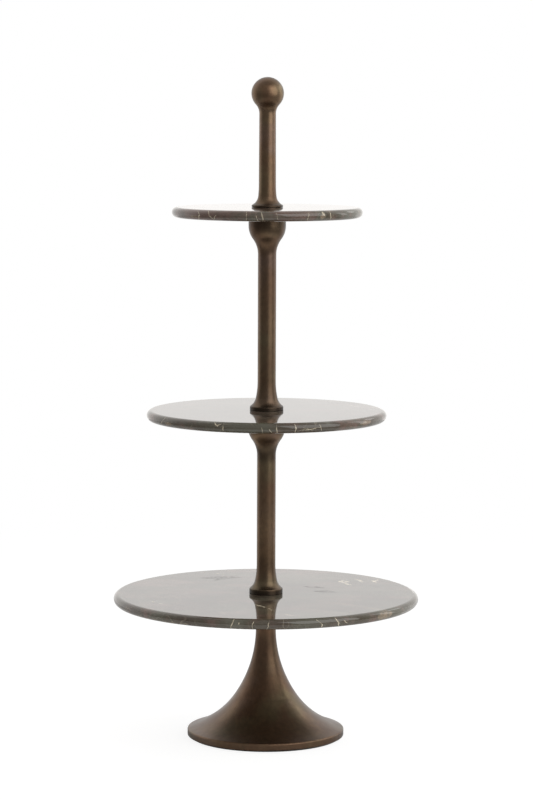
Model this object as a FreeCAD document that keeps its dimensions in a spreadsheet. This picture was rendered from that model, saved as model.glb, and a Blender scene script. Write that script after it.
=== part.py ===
"""Three-tier cake stand: marble plates clamped between turned metal sections that screw together.

Millimetres, +Z up. The origin is the centre of the felt pad's underside, so the stand rests on z = 0.
Every section is a solid of revolution about the Z axis.
"""

import FreeCAD, Part
import math
import os

import Sketcher

doc = FreeCAD.newDocument("cake_stand")
sheet = doc.addObject("Spreadsheet::Sheet", "Sizes")

SIZES = {
    # heights of the plates' top faces, and of the ball's top
    "lower_tier": 143.3,
    "middle_tier": 324.7,
    "upper_tier": 523.1,
    "ball_top": 649,
    # marble plates
    "lower_plate_radius": 150,
    "middle_plate_radius": 117.5,
    "upper_plate_radius": 93,
    "plate_thickness": 10,
    "plate_hole_radius": 5,
    # soft rings above and below each plate
    "seat_thickness": 1,
    "seat_radius": 14,
    "gasket_gap": 0.3,
    "gasket_groove_depth": 1.2,
    "gasket_inner_radius": 8.5,
    "gasket_outer_radius": 13,
    "gasket_play": 0.3,
    # M8 threads, drawn as plain cylinders
    "thread_radius": 4,
    "thread_play": 0.05,
    "thread_reach": 12.1,
    "tapped_depth": 14,
    "stud_socket": 20,
    "thread_bevel": 0.8,
    # columns and handle
    "lower_tube_radius": 9.2,
    "upper_tube_radius": 8.95,
    "handle_foot_radius": 8.35,
    "handle_rod_radius": 8.1,
    "collar_radius": 16.4,
    "handle_collar_radius": 15.3,
    "lower_collar_band": 4,
    "upper_collar_band": 2.8,
    "handle_collar_band": 1,
    "collar_edge": 1.1,
    "shoulder_turn": 56,
    "handle_shoulder_turn": 63,
    "sweep_turn": 12.2,
    "sweep_bend": 76,
    "handle_sweep_turn": 6.2,
    "handle_sweep_bend": 100,
    "cup_radius": 18.25,
    "lower_cup_band": 6,
    "upper_cup_band": 7,
    "cup_turn": 36.7,
    "cup_hollow_bend": 25,
    "ball_radius": 15.8,
    "ball_neck_bend": 12.5,
    # base casting
    "foot_radius": 77.2,
    "foot_band": 5.8,
    "foot_lower_edge": 1.2,
    "foot_upper_edge": 1.5,
    "rim_turn": 73.5,
    "flare_turn": 34.6,
    "neck_radius": 9.85,
    "neck_height": 108.4,
    "base_cup_radius": 16.8,
    "base_cup_band": 3,
    "base_wall": 5,
    "hollow_roof": 59,
    "hollow_mouth_height": 7,
    # what the base holds
    "felt_thickness": 1.5,
    "felt_radius": 74,
    "cover_radius": 74,
    "cover_play": 0.4,
    "cover_thickness": 1.2,
    "cover_screw_circle": 69.5,
    "cover_screw_radius": 1.5,
    "cover_screw_head": 2.9,
    "cover_screw_length": 6,
    "weight_radius": 46,
    "weight_bore": 16,
    "weight_height": 12,
    "washer_radius": 8,
    "bolt_washer_thickness": 1.6,
    "lock_washer_thickness": 2,
    "lock_washer_radius": 6.4,
    "lock_washer_slit": 1.2,
    "bolt_head_height": 5.3,
    "bolt_head_corner": 7.5,
}

for row, (alias, number) in enumerate(SIZES.items(), start=1):
    sheet.set(f"A{row}", alias)
    sheet.set(f"B{row}", str(number))
    sheet.setAlias(f"B{row}", alias)
doc.recompute()

SCREWS = 3


def bound(expression):
    """The same expression with each size's name pointing at its cell."""
    words = []
    word = ""
    for letter in expression + " ":
        if letter.isalnum() or letter in "_.":
            word += letter
            continue
        words.append(f"Sizes.{word}" if word in SIZES else word)
        words.append(letter)
        word = ""
    return "".join(words).strip()


def number(expression):
    """What an expression comes to, with the sheet's present sizes."""
    found = sheet.evalExpression(bound(expression))
    return float(getattr(found, "Value", found))


def cosine(turn):
    return f"cos({turn} * 1 deg)"


def sine(turn):
    return f"sin({turn} * 1 deg)"


class Outline:
    """A closed outline of (radius, height) corners, each an expression, joined by lines and arcs."""

    def __init__(self, radius, height):
        self.corners = [(radius, height)]
        self.arcs = []

    def line(self, radius, height):
        self.corners.append((radius, height))
        self.arcs.append(None)
        return self

    def arc(self, radius, height, bend, left):
        """An arc of radius bend to the next corner, its centre to the left or right of the way there."""
        self.corners.append((radius, height))
        self.arcs.append((bend, left))
        return self

    def close(self):
        self.arcs.append(None)
        return self


def draw(sketch, outline):
    """Puts an outline in a sketch, every corner and arc bound to the sheet."""
    places = [FreeCAD.Vector(number(r), number(z), 0) for r, z in outline.corners]
    count = len(places)
    ends = []
    for i, bend in enumerate(outline.arcs):
        start, end = places[i], places[(i + 1) % count]
        if bend is None:
            sketch.addGeometry(Part.LineSegment(start, end))
            ends.append((1, 2))
            continue
        radius, left = number(bend[0]), bend[1]
        chord = end - start
        side = FreeCAD.Vector(-chord.y, chord.x, 0).normalize() * (1 if left else -1)
        middle = (start + end) * 0.5
        rise = math.sqrt(radius**2 - (chord.Length / 2) ** 2)
        crown = middle + side * (rise - radius)
        first, last = (start, end) if left else (end, start)
        sketch.addGeometry(Part.Arc(first, crown, last))
        ends.append((1, 2) if left else (2, 1))
    for i in range(count):
        after = (i + 1) % count
        sketch.addConstraint(Sketcher.Constraint("Coincident", i, ends[i][1], after, ends[after][0]))
    for i, (radius, height) in enumerate(outline.corners):
        for kind, axis, size in (("DistanceX", -2, radius), ("DistanceY", -1, height)):
            if size == "0":
                sketch.addConstraint(Sketcher.Constraint("PointOnObject", i, ends[i][0], axis))
                continue
            rule = Sketcher.Constraint(kind, -1, 1, i, ends[i][0], number(size))
            made = sketch.addConstraint(rule)
            sketch.setExpression(f"Constraints[{made}]", bound(size))
        if outline.arcs[i] is not None:
            bend = outline.arcs[i][0]
            made = sketch.addConstraint(Sketcher.Constraint("Radius", i, number(bend)))
            sketch.setExpression(f"Constraints[{made}]", bound(bend))


def plane(body, role):
    return next(item for item in body.Origin.OriginFeatures if item.Role == role)


def new_sketch(body, name, role):
    sketch = body.newObject("Sketcher::SketchObject", name)
    sketch.AttachmentSupport = (plane(body, role), [""])
    sketch.MapMode = "FlatFace"
    return sketch


def turned(label, outline, foot=None):
    """A body turned about Z from an outline, standing at the height foot, or on the ground."""
    body = doc.addObject("PartDesign::Body", label)
    body.Label = label
    sketch = new_sketch(body, f"{label}_outline", "XZ_Plane")
    draw(sketch, outline)
    solid = body.newObject("PartDesign::Revolution", f"{label}_turned")
    solid.Profile = sketch
    solid.ReferenceAxis = (sketch, ["V_Axis"])
    solid.Angle = 360
    if foot:
        body.setExpression("Placement.Base.z", bound(foot))
    return body


def disc(radius, height):
    """A plain solid disc."""
    return Outline("0", "0").line(radius, "0").line(radius, height).line("0", height).close()


def ring(inner, outer, height):
    """A plain flat ring."""
    return Outline(inner, "0").line(outer, "0").line(outer, height).line(inner, height).close()


def rod(radius, length):
    """A threaded rod with a bevel at both ends."""
    shape = Outline("0", "0").line(f"{radius} - thread_bevel", "0")
    shape.line(radius, "thread_bevel").line(radius, f"{length} - thread_bevel")
    return shape.line(f"{radius} - thread_bevel", length).line("0", length).close()


# Heights of the stack, each from the tier above or below it
LOWER_SEAT = "lower_tier - plate_thickness - seat_thickness"
MIDDLE_SEAT = "middle_tier - plate_thickness - seat_thickness"
UPPER_SEAT = "upper_tier - plate_thickness - seat_thickness"


def add_plate(label, radius, tier):
    """A marble slab with a bullnose edge and a hole for the stud."""
    half = "plate_thickness / 2"
    shape = Outline("plate_hole_radius", "0").line(f"{radius} - {half}", "0")
    shape.arc(radius, half, half, left=True)
    shape.arc(f"{radius} - {half}", "plate_thickness", half, left=True)
    shape.line("plate_hole_radius", "plate_thickness").close()
    return turned(label, shape, f"{tier} - plate_thickness")


def add_seat(label, foot):
    """The soft washer between a section's top and the stone."""
    return turned(label, ring("plate_hole_radius", "seat_radius", "seat_thickness"), foot)


def add_gasket(label, tier):
    """The soft ring between the stone and the collar above it."""
    inner = "gasket_inner_radius + gasket_play"
    outer = "gasket_outer_radius - gasket_play"
    return turned(label, ring(inner, outer, "gasket_groove_depth + gasket_gap"), tier)


def collar_foot():
    """From the tapped hole's roof down and out along a section's underside, past the gasket's groove."""
    tapped = "thread_radius + thread_play"
    shape = Outline("0", "tapped_depth").line(tapped, "tapped_depth")
    shape.line(tapped, "thread_bevel").line(f"{tapped} + thread_bevel", "0")
    shape.line("gasket_inner_radius", "0").line("gasket_inner_radius", "gasket_groove_depth")
    return shape.line("gasket_outer_radius", "gasket_groove_depth").line("gasket_outer_radius", "0")


def add_collar(shape, collar, band, tube, shoulder, sweep, sweep_bend):
    """The collar's band, its hollow shoulder and the long sweep into the tube. Returns the sweep's top."""
    shape.line(collar, "0").line(collar, band)
    edge_radius = f"{collar} - collar_edge * (1 - {cosine(shoulder)})"
    edge_height = f"{band} + collar_edge * {sine(shoulder)}"
    shape.arc(edge_radius, edge_height, "collar_edge", left=True)
    sweep_radius = f"{tube} + {sweep_bend} * (1 - {cosine(sweep)})"
    bend = f"({edge_radius} - ({sweep_radius})) / ({cosine(sweep)} - {cosine(shoulder)})"
    sweep_height = f"{edge_height} + {bend} * ({sine(shoulder)} - {sine(sweep)})"
    shape.arc(sweep_radius, sweep_height, bend, left=False)
    top = f"{sweep_height} + {sweep_bend} * {sine(sweep)}"
    shape.arc(tube, top, sweep_bend, left=False)
    return top


def add_cup(shape, tube, cup, band, top):
    """The S-curve from the tube out to the cup's band, ending at the height top."""
    hollow_rise = f"cup_hollow_bend * {sine('cup_turn')}"
    inflection = f"{tube} + cup_hollow_bend * (1 - {cosine('cup_turn')})"
    bend = f"({cup} - ({inflection})) / (1 - {cosine('cup_turn')})"
    crown = f"{top} - {band}"
    crown_start = f"{crown} - {bend} * {sine('cup_turn')}"
    shape.line(tube, f"{crown_start} - {hollow_rise}")
    shape.arc(inflection, crown_start, "cup_hollow_bend", left=False)
    shape.arc(cup, crown, bend, left=True)
    return shape.line(cup, top)


def add_column(label, tier, next_seat, tube, collar_band, cup_band):
    """A column: collar below, cup above, tapped at its foot and holding a stud in its top."""
    height = f"{next_seat} - {tier} - gasket_gap"
    shape = collar_foot()
    add_collar(shape, "collar_radius", collar_band, tube, "shoulder_turn", "sweep_turn", "sweep_bend")
    add_cup(shape, tube, "cup_radius", cup_band, height)
    socket = "thread_radius + thread_play"
    shape.line(socket, height).line(socket, f"{height} - stud_socket")
    shape.line("0", f"{height} - stud_socket").close()
    return turned(label, shape, f"{tier} + gasket_gap")


def add_stud(label, seat):
    """A stud from its socket up through seat washer, plate and gap into the next section."""
    length = "stud_socket + seat_thickness + plate_thickness + thread_reach"
    return turned(label, rod("thread_radius", length), f"{seat} - stud_socket")


def add_handle():
    """The top section: collar, slightly tapered rod and ball, tapped at its foot."""
    foot = "upper_tier + gasket_gap"
    shape = collar_foot()
    add_collar(shape, "handle_collar_radius", "handle_collar_band", "handle_foot_radius",
               "handle_shoulder_turn", "handle_sweep_turn", "handle_sweep_bend")
    centre = f"ball_top - ball_radius - ({foot})"
    neck_out = "(handle_rod_radius + ball_neck_bend)"
    reach = "(ball_radius + ball_neck_bend)"
    drop = f"sqrt({reach} * {reach} - {neck_out} * {neck_out})"
    shape.line("handle_rod_radius", f"{centre} - {drop}")
    shape.arc(f"ball_radius * {neck_out} / {reach}", f"{centre} - ball_radius * {drop} / {reach}",
              "ball_neck_bend", left=False)
    shape.arc("ball_radius", centre, "ball_radius", left=True)
    shape.arc("0", f"{centre} + ball_radius", "ball_radius", left=True).close()
    return turned("handle", shape, foot)


def screw_angle(i):
    return 360 * i / SCREWS + 90


def add_base():
    """The hollow foot: cover recess, hollow, bolt hole, cup, neck, flare and rim."""
    foot = "felt_thickness"
    top = f"{LOWER_SEAT} - {foot}"
    neck = f"neck_height - {foot}"
    bolt_hole = "plate_hole_radius"
    rim_radius = f"foot_radius - foot_upper_edge * (1 - {cosine('rim_turn')})"
    rim_height = f"foot_band + foot_upper_edge * {sine('rim_turn')}"
    # two arcs, tangent at flare_turn, run from the neck to the rim: their radii follow from its place
    out, down = f"({rim_radius} - neck_radius)", f"({neck} - ({rim_height}))"
    cos_a, sin_a = cosine("flare_turn"), sine("flare_turn")
    near_out, near_down = f"(1 - {cos_a})", sin_a
    far_out, far_down = f"({cos_a} - {cosine('rim_turn')})", f"({sine('rim_turn')} - {sin_a})"
    spread = f"({near_out} * {far_down} - {near_down} * {far_out})"
    flare = f"(({out} * {far_down} - {down} * {far_out}) / {spread})"
    apron = f"(({near_out} * {down} - {near_down} * {out}) / {spread})"
    # the hollow runs parallel to the flare, one wall inside it
    hollow_bend = f"({flare} + base_wall)"
    middle = f"(neck_radius + {flare})"

    def hollow_at(height):
        return f"{middle} - sqrt({hollow_bend} * {hollow_bend} - ({neck} - {height}) * ({neck} - {height}))"

    roof = f"(hollow_roof - {foot})"
    recess = "cover_radius + cover_play"
    shape = Outline(bolt_hole, top).line(bolt_hole, roof).line(hollow_at(roof), roof)
    shape.arc(hollow_at("hollow_mouth_height"), "hollow_mouth_height", hollow_bend, left=True)
    shape.line(hollow_at("hollow_mouth_height"), "cover_thickness").line(recess, "cover_thickness")
    shape.line(recess, "0").line("foot_radius - foot_lower_edge", "0")
    shape.arc("foot_radius", "foot_lower_edge", "foot_lower_edge", left=True)
    shape.line("foot_radius", "foot_band")
    shape.arc(rim_radius, rim_height, "foot_upper_edge", left=True)
    shape.arc(f"neck_radius + {flare} * (1 - {cos_a})", f"{neck} - {flare} * {sin_a}", apron, left=False)
    shape.arc("neck_radius", neck, flare, left=False)
    add_cup(shape, "neck_radius", "base_cup_radius", "base_cup_band", top)
    shape.close()
    body = turned("base_casting", shape, foot)

    sketch = new_sketch(body, "screw_hole", "XY_Plane")
    sketch.addGeometry(Part.Circle(FreeCAD.Vector(0, number("cover_screw_circle"), 0),
                                   FreeCAD.Vector(0, 0, 1), number("cover_screw_radius")))
    sketch.addConstraint(Sketcher.Constraint("PointOnObject", 0, 3, -2))
    away = sketch.addConstraint(Sketcher.Constraint("DistanceY", -1, 1, 0, 3, number("cover_screw_circle")))
    sketch.setExpression(f"Constraints[{away}]", bound("cover_screw_circle"))
    size = sketch.addConstraint(Sketcher.Constraint("Radius", 0, number("cover_screw_radius")))
    sketch.setExpression(f"Constraints[{size}]", bound("cover_screw_radius + thread_play"))
    hole = body.newObject("PartDesign::Pocket", "tapped_hole")
    hole.Profile = sketch
    hole.Reversed = True
    hole.setExpression("Length", bound("cover_screw_length + thread_play"))
    holes = body.newObject("PartDesign::PolarPattern", "tapped_holes")
    holes.Originals = [hole]
    holes.Axis = (plane(body, "Z_Axis"), [""])
    holes.Angle = 360
    holes.Occurrences = SCREWS
    body.Tip = holes
    return body


def primitive(kind, name, sizes, height, out="0", angle=0):
    """A Part primitive with its sizes bound, standing on the Z axis or out from it at an angle."""
    item = doc.addObject(kind, name)
    for prop, expression in sizes.items():
        item.setExpression(prop, bound(expression))
    item.setExpression("Placement.Base.x", bound(f"{out} * cos({angle} * 1 deg)"))
    item.setExpression("Placement.Base.y", bound(f"{out} * sin({angle} * 1 deg)"))
    item.setExpression("Placement.Base.z", bound(height))
    return item


def screw_head(name, i, play):
    """The countersunk head of a cover screw, or the sink cut for it, with play to spare."""
    return primitive("Part::Cone", name, {
        "Radius1": f"cover_screw_head + {play}",
        "Radius2": f"cover_screw_radius + {play}",
        "Height": "cover_thickness",
    }, "felt_thickness", "cover_screw_circle", screw_angle(i))


def add_cover():
    """The steel disc that closes the foot, sunk for its screws."""
    sheet_disc = primitive("Part::Cylinder", "cover_disc", {
        "Radius": "cover_radius",
        "Height": "cover_thickness",
    }, "felt_thickness")
    sinks = doc.addObject("Part::Compound", "cover_sinks")
    sinks.Links = [screw_head(f"sink_{i}", i, "thread_play") for i in range(SCREWS)]
    cover = doc.addObject("Part::Cut", "base_cover")
    cover.Base, cover.Tool = sheet_disc, sinks
    cover.Label = "base_cover"
    return cover


def add_cover_screws():
    """Countersunk screws, evenly round the cover."""
    screws = []
    for i in range(SCREWS):
        shank = primitive("Part::Cylinder", f"shank_{i}", {
            "Radius": "cover_screw_radius",
            "Height": "cover_screw_length",
        }, "felt_thickness", "cover_screw_circle", screw_angle(i))
        screw = doc.addObject("Part::Fuse", f"screw_{i}")
        screw.Base, screw.Tool = shank, screw_head(f"head_{i}", i, "0")
        screws.append(screw)
    group = doc.addObject("Part::Compound", "cover_screws")
    group.Links = screws
    group.Label = "cover_screws"
    return group


BOLT_SEAT = "hollow_roof - bolt_washer_thickness - lock_washer_thickness"


def add_bolt():
    """The hex bolt from the base's hollow up into the lower column."""
    head = primitive("Part::Prism", "bolt_head", {
        "Circumradius": "bolt_head_corner",
        "Height": "bolt_head_height",
    }, f"{BOLT_SEAT} - bolt_head_height")
    head.Polygon = 6
    shank = primitive("Part::Cylinder", "bolt_shank", {
        "Radius": "thread_radius",
        "Height": f"lower_tier + thread_reach - ({BOLT_SEAT})",
    }, BOLT_SEAT)
    bolt = doc.addObject("Part::Fuse", "base_bolt")
    bolt.Base, bolt.Tool = head, shank
    bolt.Label = "base_bolt"
    return bolt


def add_lock_washer():
    """A spring washer: a flat ring with a slit through one side."""
    body = turned("lock_washer", ring("thread_radius + thread_bevel / 2", "lock_washer_radius",
                                      "lock_washer_thickness"), BOLT_SEAT)
    sketch = new_sketch(body, "slit_outline", "XY_Plane")
    slit = Outline("0", "-lock_washer_slit / 2").line("washer_radius", "-lock_washer_slit / 2")
    slit.line("washer_radius", "lock_washer_slit / 2").line("0", "lock_washer_slit / 2").close()
    draw(sketch, slit)
    cut = body.newObject("PartDesign::Pocket", "slit")
    cut.Profile = sketch
    cut.Reversed = True
    cut.setExpression("Length", bound("lock_washer_thickness"))
    body.Tip = cut
    return body


nodes = [
    # what the foot is made of
    turned("felt_pad", disc("felt_radius", "felt_thickness")),
    add_cover(),
    add_cover_screws(),
    turned("base_weight", ring("weight_bore", "weight_radius", "weight_height"),
           "felt_thickness + cover_thickness"),
    add_base(),
    add_bolt(),
    add_lock_washer(),
    turned("bolt_washer", ring("thread_radius + thread_bevel / 2", "washer_radius",
                               "bolt_washer_thickness"), "hollow_roof - bolt_washer_thickness"),
    # lower tier
    add_seat("lower_seat_washer", LOWER_SEAT),
    add_plate("lower_plate", "lower_plate_radius", "lower_tier"),
    add_gasket("lower_gasket", "lower_tier"),
    add_column("lower_column", "lower_tier", MIDDLE_SEAT, "lower_tube_radius",
               "lower_collar_band", "lower_cup_band"),
    # middle tier
    add_stud("middle_stud", MIDDLE_SEAT),
    add_seat("middle_seat_washer", MIDDLE_SEAT),
    add_plate("middle_plate", "middle_plate_radius", "middle_tier"),
    add_gasket("middle_gasket", "middle_tier"),
    add_column("upper_column", "middle_tier", UPPER_SEAT, "upper_tube_radius",
               "upper_collar_band", "upper_cup_band"),
    # upper tier
    add_stud("upper_stud", UPPER_SEAT),
    add_seat("upper_seat_washer", UPPER_SEAT),
    add_plate("upper_plate", "upper_plate_radius", "upper_tier"),
    add_gasket("upper_gasket", "upper_tier"),
    add_handle(),
]

doc.recompute()
for item in doc.Objects:
    if {"Invalid", "Error"} & set(item.State):
        raise RuntimeError(f"{item.Label} failed: {item.State}")
for node in nodes:
    if node.Shape.isNull() or not node.Shape.isValid():
        raise RuntimeError(f"{node.Label} has no valid shape")

os.makedirs("parts", exist_ok=True)
for node in nodes:
    node.Shape.exportStep(f"parts/{node.Label}.step")
    box = node.Shape.optimalBoundingBox()
    solids = len(node.Shape.Solids)
    print(f"{node.Label:20s} {solids} solid(s)  z {box.ZMin:7.2f} to {box.ZMax:7.2f}  "
          f"radius {box.XMax:6.2f}  {node.Shape.Volume / 1000:8.2f} cm3")
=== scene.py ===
"""Looks for a three-tier marble cake stand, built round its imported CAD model.

Everything is in metres in the CAD model's own frame: +Z up, origin under the middle of the foot.
"""

import math

import bpy
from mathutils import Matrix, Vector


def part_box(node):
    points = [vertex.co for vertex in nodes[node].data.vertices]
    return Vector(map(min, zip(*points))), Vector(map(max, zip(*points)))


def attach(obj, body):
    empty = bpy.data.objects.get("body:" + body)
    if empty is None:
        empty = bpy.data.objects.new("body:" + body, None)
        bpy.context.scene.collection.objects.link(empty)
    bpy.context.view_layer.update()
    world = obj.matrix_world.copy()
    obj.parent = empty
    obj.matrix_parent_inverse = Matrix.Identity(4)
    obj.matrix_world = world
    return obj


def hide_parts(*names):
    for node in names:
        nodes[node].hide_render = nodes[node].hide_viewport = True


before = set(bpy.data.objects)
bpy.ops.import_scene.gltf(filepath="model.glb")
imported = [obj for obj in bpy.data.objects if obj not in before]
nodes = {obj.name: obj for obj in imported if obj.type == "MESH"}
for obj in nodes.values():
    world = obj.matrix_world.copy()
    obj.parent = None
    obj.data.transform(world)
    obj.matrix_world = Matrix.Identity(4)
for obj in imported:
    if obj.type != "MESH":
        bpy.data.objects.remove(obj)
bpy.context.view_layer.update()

MM = 0.001
TURN = 2 * math.pi


# ---------------------------------------------------------------- material tools


class Tree:
    """One shader tree. add() makes a node, and put() sets or links a node's inputs."""

    def __init__(self, tree):
        self.tree = tree

    def put(self, node, inputs):
        for name, value in inputs.items():
            socket = node.inputs[name]
            if isinstance(value, bpy.types.NodeSocket):
                self.tree.links.new(value, socket)
            else:
                socket.default_value = value

    def add(self, kind, inputs=None, **settings):
        node = self.tree.nodes.new(kind)
        for name, value in settings.items():
            setattr(node, name, value)
        self.put(node, inputs or {})
        return node

    def place(self):
        """The point that is shaded, in metres in its object's frame."""
        return self.add("ShaderNodeTexCoord").outputs["Object"]

    def split(self, vector):
        """A vector's X, Y and Z."""
        return self.add("ShaderNodeSeparateXYZ", {0: vector}).outputs

    def grey(self, value):
        """A colour with the same value in red, green and blue."""
        return self.add("ShaderNodeCombineColor", {0: value, 1: value, 2: value}).outputs[0]

    def math(self, operation, a, b=0.0, c=None, clamp=False):
        inputs = {0: a, 1: b}
        if c is not None:
            inputs[2] = c
        return self.add("ShaderNodeMath", inputs, operation=operation, use_clamp=clamp).outputs[0]

    def vector(self, operation, a, b=(0, 0, 0), out="Vector"):
        return self.add("ShaderNodeVectorMath", {0: a, 1: b}, operation=operation).outputs[out]

    def scaled(self, vector, factor):
        return self.add("ShaderNodeVectorMath", {0: vector, "Scale": factor}, operation="SCALE").outputs[0]

    def noise(self, place, scale, detail=2.0, roughness=0.5, coloured=False):
        """Soft noise round 0.5, with about scale features to a metre: one value, or three as a colour."""
        inputs = {"Vector": place, "Scale": scale, "Detail": detail, "Roughness": roughness}
        return self.add("ShaderNodeTexNoise", inputs).outputs[1 if coloured else 0]

    def ease(self, value, low, high, to_low=0.0, to_high=1.0):
        """value taken smoothly from low..high to to_low..to_high, and held beyond them."""
        inputs = {
            "Value": value,
            "From Min": low,
            "From Max": high,
            "To Min": to_low,
            "To Max": to_high,
        }
        return self.add("ShaderNodeMapRange", inputs, interpolation_type="SMOOTHSTEP").outputs[0]

    def mix(self, factor, a, b, blend="MIX"):
        # a colour mix takes its two colours at inputs 6 and 7, and gives the result at output 2
        node = self.add("ShaderNodeMix", {0: factor, 6: a, 7: b}, data_type="RGBA", blend_type=blend)
        return node.outputs[2]

    def bump(self, height, strength, distance, normal=None):
        inputs = {"Height": height, "Strength": strength, "Distance": distance}
        if normal is not None:
            inputs["Normal"] = normal
        return self.add("ShaderNodeBump", inputs).outputs[0]


def new_material(name):
    """A material with an empty Principled shader, as (material, tree, shader)."""
    material = bpy.data.materials.new(name)
    material.use_nodes = True
    shader = material.node_tree.nodes["Principled BSDF"]
    return material, Tree(material.node_tree), shader


def rgb(red, green, blue):
    return (red, green, blue, 1.0)


def dress(piece, material):
    """Gives every slot of a piece one material."""
    if not piece.data.materials:
        piece.data.materials.append(material)
    for i in range(len(piece.data.materials)):
        piece.data.materials[i] = material


# ---------------------------------------------------------------- bronze

BROWN = rgb(0.136, 0.086, 0.047)
UMBER = rgb(0.117, 0.066, 0.036)
OLIVE = rgb(0.142, 0.110, 0.060)
PLUM = rgb(0.146, 0.097, 0.073)
EDGE_TINT = rgb(0.66, 0.69, 0.72)  # the metal's reflection at a grazing angle

# painted shade and painted light over each piece's height: darker under the plates and where the pieces
# meet, lighter where the lamps fall. Each band is (height above the piece's lowest point in mm, reach up
# and down in mm, brightness there)
PAINTED_LIGHT_BANDS = {
    "base_casting": ((2, 5, 0.80), (80, 30, 0.80), (112, 16, 1.18)),
    "lower_column": (
        (0, 6, 0.40),
        (0, 36, 0.76),
        (56, 34, 1.24),
        (139, 12, 0.56),
        (152, 6, 1.25),
        (166, 10, 0.70),
    ),
    "upper_column": ((0, 6, 0.40), (0, 36, 0.72), (188, 18, 0.62)),
    "handle": ((0, 5, 0.45), (0, 22, 0.78), (126, 12, 0.74)),
}
PAINTED_BAND_CORE = 0.3  # the share of its reach over which a band is at its full strength


def painted_light_tone(tree, height, bands):
    """Painted light and shade over a piece's height, from its bands."""
    tone = 1.0
    for middle, reach, brightness in bands:
        away = tree.math("ABSOLUTE", tree.math("SUBTRACT", height, middle * MM))
        band = tree.ease(away, PAINTED_BAND_CORE * (reach * MM), reach * MM, brightness, 1.0)
        tone = tree.math("MULTIPLY", band, tone)
    return tone


def bronze_material(node, offset, painted_brightness):
    """Dark waxed antique bronze: a cloudy patina, faint pits, a soft sheen, and painted light and shade.
    offset moves the pattern.
    """
    material, tree, shader = new_material(f"{node}_bronze")
    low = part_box(node)[0]
    here = tree.place()
    height = tree.math("SUBTRACT", tree.split(here)["Z"], low.z)
    place = tree.vector("ADD", here, offset)
    stretched = tree.vector("MULTIPLY", place, (1.0, 1.0, 0.45))

    clouds = tree.noise(stretched, 34.0, 4.0, 0.55)
    tint = tree.noise(place, 21.0, 3.0, 0.5, coloured=True)
    tints = tree.add("ShaderNodeSeparateColor", {"Color": tint})
    colour = tree.mix(tree.ease(clouds, 0.36, 0.62), UMBER, BROWN)
    colour = tree.mix(tree.ease(tints.outputs[0], 0.5, 0.68, 0.0, 0.75), colour, OLIVE)
    colour = tree.mix(tree.ease(tints.outputs[1], 0.52, 0.7, 0.0, 0.6), colour, PLUM)
    mottle = tree.noise(place, 190.0, 5.0, 0.62)
    # painted light: the whole piece is drawn lighter by how much light falls on it
    shade = tree.ease(mottle, 0.3, 0.72, 0.89 * painted_brightness, 1.11 * painted_brightness)
    # painted shade and painted light from the bands over the piece's height
    shade = tree.math("MULTIPLY", shade, painted_light_tone(tree, height, PAINTED_LIGHT_BANDS[node]))
    colour = tree.mix(1.0, colour, tree.grey(shade), blend="MULTIPLY")

    grain = tree.noise(place, 1400.0, 3.0, 0.6)
    pits = tree.add("ShaderNodeTexVoronoi", {"Vector": place, "Scale": 620.0, "Randomness": 1.0})
    pitted = tree.ease(pits.outputs["Distance"], 0.05, 0.2)
    patches = tree.ease(tree.noise(place, 75.0, 2.0), 0.52, 0.66)
    pitted = tree.math("MAXIMUM", pitted, tree.math("SUBTRACT", 1.0, patches))
    waves = tree.noise(stretched, 60.0, 2.0, 0.5)
    normal = tree.bump(waves, 0.35, 0.25 * MM)
    normal = tree.bump(grain, 0.16, 0.03 * MM, normal)
    normal = tree.bump(pitted, 0.25, 0.05 * MM, normal)

    tree.put(shader, {
        "Base Color": colour,
        "Normal": normal,
        "Roughness": tree.ease(clouds, 0.3, 0.7, 0.40, 0.32),
        "Metallic": 0.92,
        "Specular Tint": EDGE_TINT,
        "Coat Weight": 0.45,
        "Coat Roughness": 0.42,
        "Coat IOR": 1.4,
    })
    return material


# ---------------------------------------------------------------- marble

STONE_DARK = rgb(0.074, 0.056, 0.040)
STONE_OLIVE = rgb(0.098, 0.092, 0.066)
STONE_ROSE = rgb(0.180, 0.112, 0.092)
STONE_GREY = rgb(0.130, 0.124, 0.096)
STONE_TAN = rgb(0.260, 0.200, 0.140)
# painted shade for the plates' top faces
STONE_PAINTED_SHADE = rgb(0.030, 0.022, 0.016)
STONE_INK = rgb(0.012, 0.010, 0.008)
CLOUD_ROSE = rgb(0.230, 0.150, 0.128)
CLOUD_GREEN = rgb(0.135, 0.132, 0.096)
VEIN_FAINT = rgb(0.30, 0.26, 0.19)
VEIN_CREAM = rgb(0.66, 0.58, 0.43)
FACE_FADE = (12 * MM, 3 * MM)  # how far inside the rim the face's own looks begin and end to fade
FACE_PAINTED_SHADE = 0.4  # how far the face is darkened: painted shade, since the tops take more light than the rims
INK_DULLS = 0.42  # what ink takes off the polish, of its usual 0.5


def stroke_group():
    """A node group: 1 on a tapered straight stroke from Start to End, 0 away from it."""
    group = bpy.data.node_groups.new("stroke", "ShaderNodeTree")
    for name in ("Place", "Start", "End"):
        group.interface.new_socket(name, in_out="INPUT", socket_type="NodeSocketVector")
    group.interface.new_socket("Width", in_out="INPUT", socket_type="NodeSocketFloat")
    group.interface.new_socket("Mask", in_out="OUTPUT", socket_type="NodeSocketFloat")
    tree = Tree(group)
    given = tree.add("NodeGroupInput").outputs
    here = tree.vector("SUBTRACT", given["Place"], given["Start"])
    whole = tree.vector("SUBTRACT", given["End"], given["Start"])
    along = tree.math("DIVIDE", tree.vector("DOT_PRODUCT", here, whole, out="Value"),
                      tree.vector("DOT_PRODUCT", whole, whole, out="Value"), clamp=True)
    away = tree.vector("DISTANCE", here, tree.scaled(whole, along), out="Value")
    # the stroke swells to its full width in the middle and narrows to 0.4 of it at both ends
    swell = tree.math("MULTIPLY", along, tree.math("SUBTRACT", 1.0, along))
    width = tree.math("MULTIPLY", given["Width"], tree.math("MULTIPLY_ADD", swell, 2.4, 0.4))
    mask = tree.ease(tree.math("DIVIDE", away, width), 0.3, 1.0, 1.0, 0.0)
    tree.add("NodeGroupOutput", {"Mask": mask})
    return group


STROKE = stroke_group()


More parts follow.
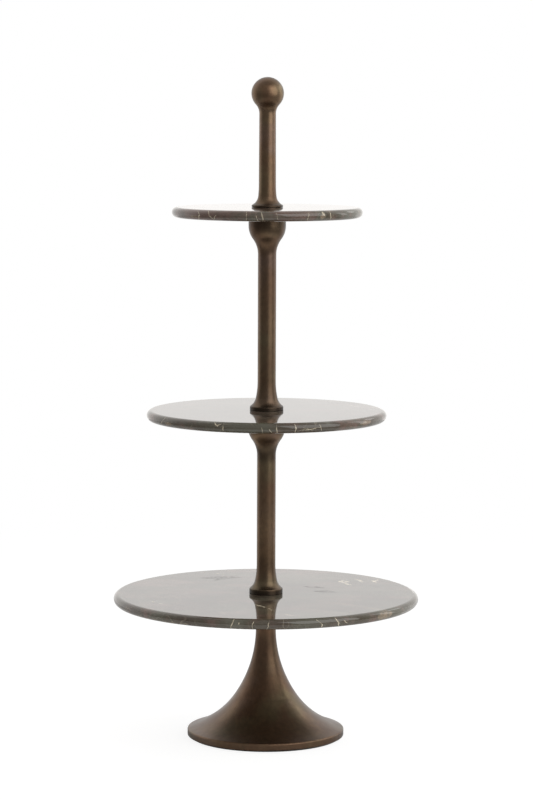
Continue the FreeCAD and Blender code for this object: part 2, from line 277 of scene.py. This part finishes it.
def strokes(tree, place, lines):
    """The union of strokes, each (start, end, width) in metres in the plane of place, as one mask."""
    union = None
    for start, end, width in lines:
        inputs = {"Place": place, "Start": (*start, 0.0), "End": (*end, 0.0), "Width": width}
        mask = tree.add("ShaderNodeGroup", inputs, node_tree=STROKE).outputs[0]
        union = mask if union is None else tree.math("MAXIMUM", union, mask)
    return union


def on_top(lines):
    """Strokes on a plate's face: (x, y) of both ends and a width, in millimetres."""
    return [((a * MM, b * MM), (c * MM, d * MM), width * MM) for (a, b), (c, d), width in lines]


def on_rim(lines, radius):
    """Strokes on a rim: (bearing, depth) of both ends and a width.

    Bearings are degrees from the -Y side towards +X, depths are millimetres below the plate's face.
    """
    arc = math.radians(1) * radius
    return [((a * arc, -b * MM), (c * arc, -d * MM), width * MM) for (a, b), (c, d), width in lines]


def drift(tree, place, scale, reach):
    """A smooth wandering offset of up to half of reach each way, with scale features to a metre."""
    sway = tree.noise(place, scale, 3.0, 0.55, coloured=True)
    return tree.scaled(tree.vector("SUBTRACT", sway, (0.5, 0.5, 0.5)), reach)


def marble_material(node, offset, brownness, cloudiness, veins, rim_veins, rim_patches, ink):
    """Polished brown-green marble: clouds, a faint web, and a slab's own veins, patches and ink marks."""
    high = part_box(node)[1]
    radius = high.x
    material, tree, shader = new_material(f"{node}_marble")
    here = tree.place()
    place = tree.vector("ADD", here, offset)
    drifted = tree.vector("ADD", place, drift(tree, place, 16.0, 0.05))
    streaked = tree.vector("MULTIPLY", drifted, (0.55, 1.5, 1.0))

    clouds = tree.noise(drifted, 17.0, 5.0, 0.6)
    colour = tree.mix(tree.ease(clouds, 0.36, 0.60), STONE_OLIVE, STONE_DARK)
    rose = tree.noise(tree.vector("ADD", streaked, (0.3, 0.6, 0.9)), 30.0, 6.0, 0.66)
    low_rose = 0.56 - 0.08 * brownness
    colour = tree.mix(tree.ease(rose, low_rose - 0.04, low_rose + 0.14, 0.0, 0.8), colour, STONE_ROSE)
    greys = tree.noise(tree.vector("ADD", streaked, (0.7, 0.2, 0.4)), 42.0, 7.0, 0.7)
    colour = tree.mix(tree.ease(greys, 0.52, 0.70), colour, STONE_GREY)
    tans = tree.noise(tree.vector("ADD", drifted, (0.1, 0.9, 0.3)), 14.0, 6.0, 0.65)
    colour = tree.mix(tree.ease(tans, 0.62, 0.74, 0.0, 0.55), colour, STONE_TAN)
    flecks = tree.noise(place, 520.0, 2.0, 0.7)
    colour = tree.mix(tree.ease(flecks, 0.60, 0.74, 0.0, 0.35), colour, STONE_GREY)

    # the polished face is drawn darker than the rim, as painted shade against the light that falls on it
    # from above, with long pale clouds that fade out before it
    flat = tree.vector("MULTIPLY", here, (1.0, 1.0, 0.0))
    outward = tree.vector("LENGTH", flat, out="Value")
    face = tree.ease(outward, radius - FACE_FADE[0], radius - FACE_FADE[1], 1.0, 0.0)
    colour = tree.mix(tree.math("MULTIPLY", face, FACE_PAINTED_SHADE), colour, STONE_PAINTED_SHADE)
    banded = tree.vector("MULTIPLY", drifted, (0.7, 1.7, 1.0))
    for seed, scale, tone in ((0.2, 21.0, CLOUD_ROSE), (0.8, 17.0, CLOUD_GREEN)):
        wisps = tree.noise(tree.vector("ADD", banded, (seed, seed, seed)), scale, 6.0, 0.68)
        wisps = tree.math("MULTIPLY", tree.ease(wisps, 0.46, 0.68, 0.0, cloudiness), face)
        colour = tree.mix(wisps, colour, tone)

    # the web: thin cracks between warped cells, showing only here and there
    for scale, width, strength, seed in ((26.0, 0.016, 0.6, 0.0), (70.0, 0.03, 0.45, 0.37)):
        cells = tree.vector("ADD", drifted, (seed, seed, seed))
        inputs = {"Vector": cells, "Scale": scale}
        web = tree.add("ShaderNodeTexVoronoi", inputs, feature="DISTANCE_TO_EDGE")
        line = tree.ease(web.outputs["Distance"], 0.0, width, 1.0, 0.0)
        shows = tree.ease(tree.noise(cells, 19.0, 2.0), 0.50, 0.64, 0.0, strength)
        colour = tree.mix(tree.math("MULTIPLY", line, shows), colour, VEIN_FAINT)

    # ink: short dark scratches inside a few long soft smudges, duller than the polish
    wavy = tree.vector("ADD", flat, drift(tree, place, 85.0, 8 * MM))
    if ink:
        scratch = tree.noise(tree.vector("MULTIPLY", place, (1.0, 2.2, 1.0)), 120.0, 6.0, 0.7)
        from_middle = tree.math("ABSOLUTE", tree.math("SUBTRACT", scratch, 0.5))
        scratch = tree.ease(from_middle, 0.02, 0.075, 1.0, 0.0)
        smudge = tree.math("MULTIPLY", strokes(tree, wavy, on_top(ink)), scratch)
        colour = tree.mix(tree.math("MULTIPLY", smudge, 0.7), colour, STONE_INK)
        tree.put(shader, {"Specular IOR Level": tree.math("MULTIPLY_ADD", smudge, -INK_DULLS, 0.5)})

    # veins on the face, in plan; veins and patches on the rim, unrolled to arc and depth
    parts = tree.split(here)
    bearing = tree.math("ARCTAN2", parts["X"], tree.math("MULTIPLY", parts["Y"], -1.0))
    arc = tree.math("MULTIPLY", bearing, radius)
    depth = tree.math("SUBTRACT", parts["Z"], high.z)
    rim = tree.add("ShaderNodeCombineXYZ", {0: arc, 1: depth}).outputs[0]
    rim_drift = tree.vector("MULTIPLY", drift(tree, place, 170.0, 4 * MM), (1.0, 1.0, 0.0))
    wavy_rim = tree.vector("ADD", rim, rim_drift)
    broken = tree.ease(tree.noise(place, 260.0, 3.0, 0.6), 0.34, 0.54, 0.25, 1.0)
    face_mask = tree.math("MULTIPLY", strokes(tree, wavy, on_top(veins)), broken)
    rim_mask = tree.math("MULTIPLY", strokes(tree, wavy_rim, on_rim(rim_veins, radius)), broken)
    if rim_patches:
        patch = strokes(tree, wavy_rim, on_rim(rim_patches, radius))
        mottled = tree.ease(tree.noise(place, 330.0, 4.0, 0.6), 0.36, 0.6, 0.4, 1.0)
        colour = tree.mix(tree.math("MULTIPLY", patch, mottled), colour, STONE_TAN)
    colour = tree.mix(tree.math("MAXIMUM", face_mask, rim_mask), colour, VEIN_CREAM)

    ripple = tree.noise(place, 22.0, 1.0, 0.4)
    tree.put(shader, {
        "Base Color": colour,
        "Roughness": tree.ease(tree.noise(place, 45.0, 4.0, 0.6), 0.4, 0.7, 0.04, 0.085),
        "Normal": tree.bump(ripple, 0.06, 0.2 * MM),
        "IOR": 1.56,
    })
    return material


# each slab's own marks: veins and ink in on_top's measures, rim veins and rim patches in on_rim's
LOWER_MARBLE = {
    "offset": (0.20, 0.45, 0.10),
    "brownness": 0.3,
    "cloudiness": 0.6,
    "veins": [
        ((-11, -66), (0, -84), 2.2),
        ((0, -84), (9, -104), 1.3),
        ((17, -119), (34, -131), 1.0),
        ((74, 70), (80, 58), 4.2),
        ((80, 58), (86, 46), 2.4),
        ((77, 74), (83, 66), 2.2),
        ((90, 84), (98, 62), 2.6),
        ((107, 76), (112, 62), 2.8),
        ((109, 66), (114, 80), 2.2),
        ((-40, 110), (-92, 128), 0.9),
        ((-118, -40), (-84, -92), 0.8),
    ],
    "rim_veins": [
        ((-11.6, 0.8), (-12.8, 9.4), 0.75),
        ((-9.6, 3.6), (-9.9, 4.8), 0.7),
        ((18.6, 1.0), (20.6, 4.6), 0.45),
        ((20.6, 4.6), (20.8, 9.2), 0.7),
        ((26.3, 0.8), (27.7, 9.4), 0.7),
        ((-4.4, 2.0), (-5.0, 9.0), 0.35),
        ((29.5, 4.0), (31.0, 6.5), 0.35),
        ((1.5, 1.0), (0.4, 9.4), 0.35),
        ((88, 0.8), (92, 9.4), 0.7),
        ((171, 0.8), (167, 9.4), 0.8),
        ((-126, 0.8), (-123, 9.4), 0.7),
    ],
    "rim_patches": [((46, 5.0), (53, 4.0), 6.5)],
    "ink": [
        ((-64, 86), (-28, 90), 13.0),
        ((-52, 73), (-30, 100), 7.0),
        ((40, 36), (56, 30), 9.0),
        ((50, 10), (68, 4), 11.0),
    ],
}
MIDDLE_MARBLE = {
    "offset": (1.35, 0.15, 0.62),
    "brownness": 0.4,
    "cloudiness": 0.3,
    "veins": [
        ((78, 52), (92, 25), 0.8),
        ((92, 25), (106, -3), 0.6),
        ((-60, 70), (-100, 30), 0.7),
    ],
    "rim_veins": [
        ((-25.4, 1.0), (-23.0, 4.0), 0.7),
        ((-24.2, 3.6), (-21.8, 1.4), 0.6),
        ((-20.7, 2.0), (-20.4, 8.6), 0.45),
        ((-2.4, 4.0), (-1.8, 9.0), 0.5),
        ((1.2, 6.0), (2.4, 9.2), 0.5),
        ((4.4, 1.0), (4.8, 9.2), 0.5),
        ((13.3, 1.0), (13.7, 8.8), 0.6),
        ((14.5, 7.6), (25.6, 5.0), 0.28),
        ((17.0, 4.5), (22.0, 7.4), 0.25),
        ((25.6, 1.6), (26.4, 8.2), 0.45),
        ((-57, 1.0), (-61, 9.0), 0.5),
        ((118, 1.0), (122, 9.0), 0.6),
        ((-152, 1.0), (-149, 9.0), 0.7),
    ],
    "rim_patches": [((50, 5.0), (58, 4.0), 2.6), ((-56, 6.0), (-50, 6.0), 2.0)],
    "ink": [],
}
UPPER_MARBLE = {
    "offset": (2.10, 0.80, 0.33),
    "brownness": 1.0,
    "cloudiness": 0.25,
    "veins": [((-20, 60), (-70, 44), 0.7), ((30, -56), (52, -50), 0.6)],
    "rim_veins": [
        ((-46.0, 1.0), (-44.0, 5.0), 0.5),
        ((-44.0, 5.0), (-45.6, 9.2), 0.45),
        ((-38.0, 1.0), (-33.9, 9.2), 0.45),
        ((-31.0, 4.0), (-34.0, 9.2), 0.4),
        ((-12.5, 1.0), (-12.2, 9.2), 0.4),
        ((-6.6, 4.6), (-5.6, 9.2), 0.5),
        ((-3.4, 1.0), (-2.8, 9.2), 0.6),
        ((5.0, 2.0), (6.4, 8.0), 0.4),
        ((25.0, 1.0), (24.7, 9.2), 0.4),
        ((34.6, 0.8), (35.4, 4.6), 1.6),
        ((40.2, 1.0), (40.8, 8.4), 0.6),
        ((-140, 1.0), (-136, 9.2), 0.6),
        ((104, 1.0), (108, 9.2), 0.6),
    ],
    "rim_patches": [((33.6, 6.0), (35.8, 5.8), 4.6), ((-52.0, 6.0), (-44.0, 6.6), 2.2)],
    "ink": [],
}


# ---------------------------------------------------------------- other materials

ZINC_YELLOW = rgb(0.42, 0.41, 0.37)
ZINC_WHITE = rgb(0.60, 0.60, 0.58)
IRON_GREY = rgb(0.06, 0.058, 0.056)
IRON_RUST = rgb(0.14, 0.07, 0.04)
RUBBER_BLACK = rgb(0.012, 0.012, 0.012)
RUBBER_BLOOM = rgb(0.04, 0.038, 0.036)
FELT_DARK = rgb(0.022, 0.018, 0.015)
FELT_LIGHT = rgb(0.07, 0.058, 0.048)


def steel_material():
    """Bright zinc plating with a faint yellow passivation and rubbed spots."""
    material, tree, shader = new_material("zinc_plate")
    place = tree.place()
    spots = tree.noise(place, 420.0, 4.0, 0.6)
    colour = tree.mix(tree.ease(spots, 0.35, 0.65), ZINC_YELLOW, ZINC_WHITE)
    tree.put(shader, {
        "Base Color": colour,
        "Roughness": tree.ease(spots, 0.3, 0.7, 0.38, 0.26),
        "Normal": tree.bump(spots, 0.2, 0.02 * MM),
        "Metallic": 1.0,
    })
    return material


def iron_material():
    """A raw sand casting."""
    material, tree, shader = new_material("cast_iron")
    place = tree.place()
    sand = tree.noise(place, 900.0, 5.0, 0.65)
    rust = tree.noise(place, 60.0, 5.0, 0.6)
    colour = tree.mix(tree.ease(rust, 0.55, 0.75), IRON_GREY, IRON_RUST)
    tree.put(shader, {
        "Base Color": colour,
        "Normal": tree.bump(sand, 0.6, 0.15 * MM),
        "Metallic": 0.6,
        "Roughness": 0.7,
    })
    return material


def rubber_material():
    """Matt black rubber with a dusty bloom."""
    material, tree, shader = new_material("rubber")
    place = tree.place()
    bloom = tree.noise(place, 260.0, 4.0, 0.6)
    colour = tree.mix(tree.ease(bloom, 0.4, 0.75), RUBBER_BLACK, RUBBER_BLOOM)
    tree.put(shader, {
        "Base Color": colour,
        "Normal": tree.bump(bloom, 0.2, 0.03 * MM),
        "Roughness": 0.75,
    })
    return material


def felt_material():
    """Pressed wool felt: matted fibres and a soft sheen."""
    material, tree, shader = new_material("felt")
    place = tree.place()
    matted = tree.noise(tree.vector("MULTIPLY", place, (1.0, 1.0, 2.0)), 700.0, 6.0, 0.75)
    fibres = tree.noise(tree.vector("MULTIPLY", place, (1.0, 5.0, 3.0)), 480.0, 4.0, 0.7)
    colour = tree.mix(tree.ease(matted, 0.35, 0.7), FELT_DARK, FELT_LIGHT)
    tree.put(shader, {
        "Base Color": colour,
        "Normal": tree.bump(tree.math("ADD", matted, fibres), 0.9, 0.25 * MM),
        "Roughness": 0.95,
        "Sheen Weight": 0.4,
        "Sheen Roughness": 0.5,
    })
    return material


STEEL = steel_material()
IRON = iron_material()
RUBBER = rubber_material()
FELT = felt_material()


# ---------------------------------------------------------------- meshes

PITCH = 1.25 * MM  # an M8 thread's
THREAD_DEPTH = 0.61 * PITCH
THREAD_ROOT = 0.12  # the share of half a pitch that is flat at the thread's root
THREAD_FLANK = 0.7  # and the share that its flank takes, with the flat crest after it
THREAD_RINGS = 8  # rings of points to a pitch
BEVEL = 0.8 * MM  # on a rod's ends
TURNED_OFF = 0.9 * MM  # from a bolt head's corners, and half as much on its bearing side
RING_SEGMENTS = 72
FELT_SEGMENTS = 180
FLOOR_SEGMENTS = 96


def add_piece(name, points, faces, body, node, material):
    """A smooth mesh that stands for a CAD node and rides on its body."""
    mesh = bpy.data.meshes.new(name)
    mesh.from_pydata(points, [], faces)
    mesh.validate()
    mesh.shade_smooth()
    piece = bpy.data.objects.new(name, mesh)
    bpy.context.scene.collection.objects.link(piece)
    piece.data.materials.append(material)
    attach(piece, body)
    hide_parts(node)


def turn_outline(outline, segments):
    """Points and faces of an outline of (radius, height) turned about Z.

    An outline that starts at a pole, a radius of 0, stays open. Any other is closed.
    """
    points, faces, rings = [], [], []
    for radius, height in outline:
        if radius <= 0:
            rings.append([len(points)] * segments)
            points.append((0.0, 0.0, height))
            continue
        rings.append(list(range(len(points), len(points) + segments)))
        for i in range(segments):
            angle = TURN * i / segments
            points.append((radius * math.cos(angle), radius * math.sin(angle), height))
    closed = outline[0][0] > 0
    for k in range(len(rings) if closed else len(rings) - 1):
        low, high = rings[k], rings[(k + 1) % len(rings)]
        for i in range(segments):
            j = (i + 1) % segments
            corners = [low[i], low[j], high[j], high[i]]
            faces.append([c for n, c in enumerate(corners) if c not in corners[:n]])
    return points, faces


def rounded_ring(inner, outer, low, high, bend, steps=5):
    """A ring's outline with every corner rounded, from its inner bottom corner anticlockwise."""
    outline = []
    corners = (
        (inner + bend, low + bend, 180),
        (outer - bend, low + bend, 270),
        (outer - bend, high - bend, 0),
        (inner + bend, high - bend, 90),
    )
    for radius, height, first in corners:
        for i in range(steps + 1):
            angle = math.radians(first + 90 * i / steps)
            outline.append((radius + bend * math.cos(angle), height + bend * math.sin(angle)))
    return outline


def span(node):
    """A CAD node's outer radius, lowest and highest z."""
    low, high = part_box(node)
    return high.x, low.z, high.z


def soft_ring(node, body, inner, bend):
    """A rubber ring with rounded edges in the place of its CAD node."""
    outer, low, high = span(node)
    points, faces = turn_outline(rounded_ring(inner, outer, low, high, bend), RING_SEGMENTS)
    add_piece(f"{node}_ring", points, faces, body, node, RUBBER)


def thread_radius(height, angle, crest, depth):
    """The radius of a V thread with a flat root and crest, at a height and an angle."""
    phase = (height / PITCH - angle / TURN) % 1.0
    flank = 1.0 - abs(2.0 * phase - 1.0)
    return crest - depth + depth * min(1.0, max(0.0, (flank - THREAD_ROOT) / THREAD_FLANK))


def threaded_rod(crest, low, high, thread_from, segments=48):
    """Points and faces of a rod along Z, whose thread runs in over a pitch above thread_from."""
    step = PITCH / THREAD_RINGS
    count = math.ceil((high - low) / step)
    heights = [low + (high - low) * k / count for k in range(count + 1)]
    points = [(0.0, 0.0, low)]
    faces = []
    for height in heights:
        bevelled = crest - max(0.0, BEVEL - (height - low), BEVEL - (high - height))
        run_in = min(1.0, max(0.0, (height - thread_from) / PITCH))
        for i in range(segments):
            angle = TURN * i / segments
            cut = thread_radius(height, angle, crest, THREAD_DEPTH * run_in)
            radius = min(bevelled, cut)
            points.append((radius * math.cos(angle), radius * math.sin(angle), height))
    points.append((0.0, 0.0, high))
    top = len(points) - 1
    for i in range(segments):
        j = (i + 1) % segments
        faces.append([0, 1 + j, 1 + i])
        for k in range(count):
            row, above = 1 + k * segments, 1 + (k + 1) * segments
            faces.append([row + i, row + j, above + j, above + i])
        faces.append([top - segments + i, top - segments + j, top])
    return points, faces


def hex_head(corner, low, high, segments=48):
    """Points and faces of a hexagon head with its corners turned off at both ends."""
    # each level is a height and the widest that the head is there, as a share of its corners' radius
    levels = ((low, 0.93), (low + TURNED_OFF, 1.0), (high - TURNED_OFF / 2, 1.0), (high, 0.95))
    flat = corner * math.cos(TURN / 12)
    points = []
    for height, share in levels:
        for i in range(segments):
            angle = TURN * i / segments
            edge = flat / math.cos((angle % (TURN / 6)) - TURN / 12)
            radius = min(edge, corner * share)
            points.append((radius * math.cos(angle), radius * math.sin(angle), height))
    points += [(0.0, 0.0, low), (0.0, 0.0, high)]
    faces = []
    last = (len(levels) - 1) * segments
    for i in range(segments):
        j = (i + 1) % segments
        faces.append([len(points) - 2, j, i])
        for row in range(0, last, segments):
            above = row + segments
            faces.append([row + i, row + j, above + j, above + i])
        faces.append([last + i, last + j, len(points) - 1])
    return points, faces


def thread_stud(node, body):
    """A stud with its thread from end to end."""
    crest, low, high = span(node)
    points, faces = threaded_rod(crest, low, high, low - PITCH)
    add_piece(f"{node}_thread", points, faces, body, node, STEEL)


def hex_bolt(node, body, shank, head_height, thread_length):
    """A bolt that stands on its head, threaded at its upper end."""
    corner, low, high = span(node)
    points, faces = threaded_rod(shank, low + head_height, high, high - thread_length)
    head_points, head_faces = hex_head(corner, low, low + head_height)
    faces = faces + [[i + len(points) for i in face] for face in head_faces]
    add_piece("bolt", points + head_points, faces, body, node, STEEL)


def felt_disc(node, body):
    """A disc of felt, worn round at its lower edge and cut with a slight slope at its upper one."""
    radius, low, high = span(node)
    outline = [
        (0.0, low),
        (radius - 0.5 * MM, low),
        (radius - 0.15 * MM, low + 0.15 * MM),
        (radius, low + 0.5 * MM),
        (radius, high - 0.4 * MM),
        (radius - 0.3 * MM, high),
        (0.0, high),
    ]
    points, faces = turn_outline(outline, FELT_SEGMENTS)
    add_piece("felt_disc", points, faces, body, node, FELT)


# ---------------------------------------------------------------- the stand

# each piece's last number is painted light: how much lighter it is drawn, the handle most, as the light
# falls strongest at the top
for node, offset, painted_brightness in (
    ("base_casting", (0.31, 0.15, 0.0), 1.12),
    ("lower_column", (0.62, 0.31, 0.0), 1.06),
    ("upper_column", (0.93, 0.46, 0.0), 1.02),
    ("handle", (1.24, 0.62, 0.0), 1.32),
):
    dress(nodes[node], bronze_material(node, offset, painted_brightness))

for node, marks in (
    ("lower_plate", LOWER_MARBLE),
    ("middle_plate", MIDDLE_MARBLE),
    ("upper_plate", UPPER_MARBLE),
):
    dress(nodes[node], marble_material(node, **marks))

for node in ("base_cover", "cover_screws", "lock_washer", "bolt_washer"):
    dress(nodes[node], STEEL)
dress(nodes["base_weight"], IRON)

SEAT = (5 * MM, 0.35 * MM)  # the radius of the bore, and of the rounding on every edge
GASKET = (8.8 * MM, 0.3 * MM)
for node, body, (bore, bend) in (
    ("lower_seat_washer", "base", SEAT),
    ("middle_seat_washer", "lower_section", SEAT),
    ("upper_seat_washer", "upper_section", SEAT),
    ("lower_gasket", "lower_ring", GASKET),
    ("middle_gasket", "middle_ring", GASKET),
    ("upper_gasket", "upper_ring", GASKET),
):
    soft_ring(node, body, bore, bend)

thread_stud("middle_stud", "lower_section")
thread_stud("upper_stud", "upper_section")
hex_bolt("base_bolt", "base", shank=4 * MM, head_height=5.3 * MM, thread_length=26 * MM)
felt_disc("felt_pad", "base")


# ---------------------------------------------------------------- floor, light and camera

FLOOR_RADIUS = 1.6
FLOOR_GAP = 0.2 * MM  # below the felt, so that the two faces don't flicker through each other
TABLE_WHITE = 0.92  # how much light the table top gives back, as it mirrors in the stand
TABLE_END = 0.25  # and the dim room in front of it
SEEN_PAINT = 0.22  # what the camera sees of the floor: a little paint, to take the shadows
SEEN_GLOW = 0.86  # and glow, which brings it up to white
WHITE = rgb(1.0, 1.0, 1.0)
BACKDROP = rgb(1.21, 1.19, 1.17)  # the white wall behind the stand
ROOM_LOW, ROOM_OVERHEAD = 0.20, 0.42  # the grey of the room in front of it
AIM_HEIGHT = 0.34  # the stand's middle, which the lights face

# the photographer's place: in front and a little above the upper plate, looking down
CAMERA_PLACE = (0.0, -2.9, 0.6443)
CAMERA_DOWN = 6.10  # degrees
CAMERA_ROLL = -0.20
CAMERA_LEFT = 0.024
SENSOR_WIDTH = 36.0  # mm
LENS = 134.0


def add_floor():
    """A round white floor that shows only the shadow round the foot, with no edge to be seen."""
    points, faces = turn_outline([(0.0, 0.0), (FLOOR_RADIUS, 0.0)], FLOOR_SEGMENTS)
    mesh = bpy.data.meshes.new("floor")
    mesh.from_pydata(points, [], faces)
    floor = bpy.data.objects.new("floor", mesh)
    floor.location.z = -FLOOR_GAP
    bpy.context.scene.collection.objects.link(floor)
    material, tree, shader = new_material("floor_white")
    tree.tree.nodes.remove(shader)
    place = tree.place()
    away = tree.vector("LENGTH", place, out="Value")
    # what mirrors in the stand: a white table top that ends before the dim front of the room
    table = tree.ease(away, 0.45, 0.9, TABLE_WHITE, TABLE_END)
    behind = tree.ease(tree.split(place)["Y"], 0.0, 0.5, 0.0, TABLE_WHITE)
    table = tree.math("MAXIMUM", table, behind)
    # what the camera sees: mostly glow, so that only contact shadows show
    seen = tree.add("ShaderNodeLightPath").outputs["Is Camera Ray"]
    paint = tree.add("ShaderNodeMix", {0: seen, 2: table, 3: SEEN_PAINT}, data_type="FLOAT").outputs[0]
    lit = tree.add("ShaderNodeBsdfDiffuse", {"Color": tree.grey(paint)}).outputs[0]
    glow = tree.add("ShaderNodeEmission", {"Strength": tree.math("MULTIPLY", seen, SEEN_GLOW)}).outputs[0]
    near = tree.add("ShaderNodeAddShader", {0: lit, 1: glow}).outputs[0]
    white = tree.add("ShaderNodeEmission", {"Strength": 1.0}).outputs[0]
    fade = tree.math("MULTIPLY", tree.ease(away, 0.3, FLOOR_RADIUS * 0.9), seen)
    surface = tree.add("ShaderNodeMixShader", {0: fade, 1: near, 2: white}).outputs[0]
    # its faces look down: clear from below, so that the foot can be seen from there
    above = tree.add("ShaderNodeNewGeometry").outputs["Backfacing"]
    clear = tree.add("ShaderNodeBsdfTransparent").outputs[0]
    surface = tree.add("ShaderNodeMixShader", {0: above, 1: clear, 2: surface}).outputs[0]
    tree.put(tree.tree.nodes["Material Output"], {"Surface": surface})
    dress(floor, material)


def add_world():
    """A studio: white behind the stand, dim in front and brighter overhead. The camera sees white."""
    world = bpy.data.worlds.new("studio")
    world.use_nodes = True
    bpy.context.scene.world = world
    tree = Tree(world.node_tree)
    way = tree.split(tree.add("ShaderNodeTexCoord").outputs["Generated"])
    room = tree.grey(tree.ease(way["Z"], -0.15, 0.45, ROOM_LOW, ROOM_OVERHEAD))
    light = tree.mix(tree.ease(way["Y"], -0.25, 0.5), room, BACKDROP)
    seen = tree.add("ShaderNodeLightPath").outputs["Is Camera Ray"]
    tree.put(tree.tree.nodes["Background"], {"Color": tree.mix(seen, light, WHITE)})


def add_softbox(name, bearing, rise, distance, size, radiance):
    """A rectangular light facing the stand's middle. Bearing 0 is the camera's side, 90 is +X."""
    light = bpy.data.lights.new(name, "AREA")
    light.shape = "RECTANGLE"
    light.size, light.size_y = size
    light.energy = radiance * math.pi * size[0] * size[1]
    lamp = bpy.data.objects.new(name, light)
    bpy.context.scene.collection.objects.link(lamp)
    angle, lift = math.radians(bearing), math.radians(rise)
    lamp.location = (
        distance * math.cos(lift) * math.sin(angle),
        -distance * math.cos(lift) * math.cos(angle),
        AIM_HEIGHT + distance * math.sin(lift),
    )
    lamp.rotation_euler = (math.radians(90 - rise), 0.0, angle)
    lamp.visible_camera = False


def add_camera():
    """The camera that looks from the photographer's place."""
    data = bpy.data.cameras.new("camera")
    data.sensor_width = SENSOR_WIDTH
    data.lens = LENS
    camera = bpy.data.objects.new("camera", data)
    bpy.context.scene.collection.objects.link(camera)
    camera.location = CAMERA_PLACE
    angles = (90 - CAMERA_DOWN, CAMERA_ROLL, CAMERA_LEFT)
    camera.rotation_euler = [math.radians(angle) for angle in angles]
    bpy.context.scene.camera = camera


add_floor()
add_world()
add_softbox("softbox_right", bearing=47, rise=26, distance=2.0, size=(2.0, 2.2), radiance=1.8)
add_softbox("strip_right", bearing=104, rise=18, distance=2.0, size=(0.4, 1.4), radiance=1.4)
add_softbox("lamp_behind", bearing=131, rise=27, distance=2.4, size=(0.5, 0.5), radiance=1.6)
add_camera()

view = bpy.context.scene.view_settings
view.view_transform = "Standard"
view.look = "None"
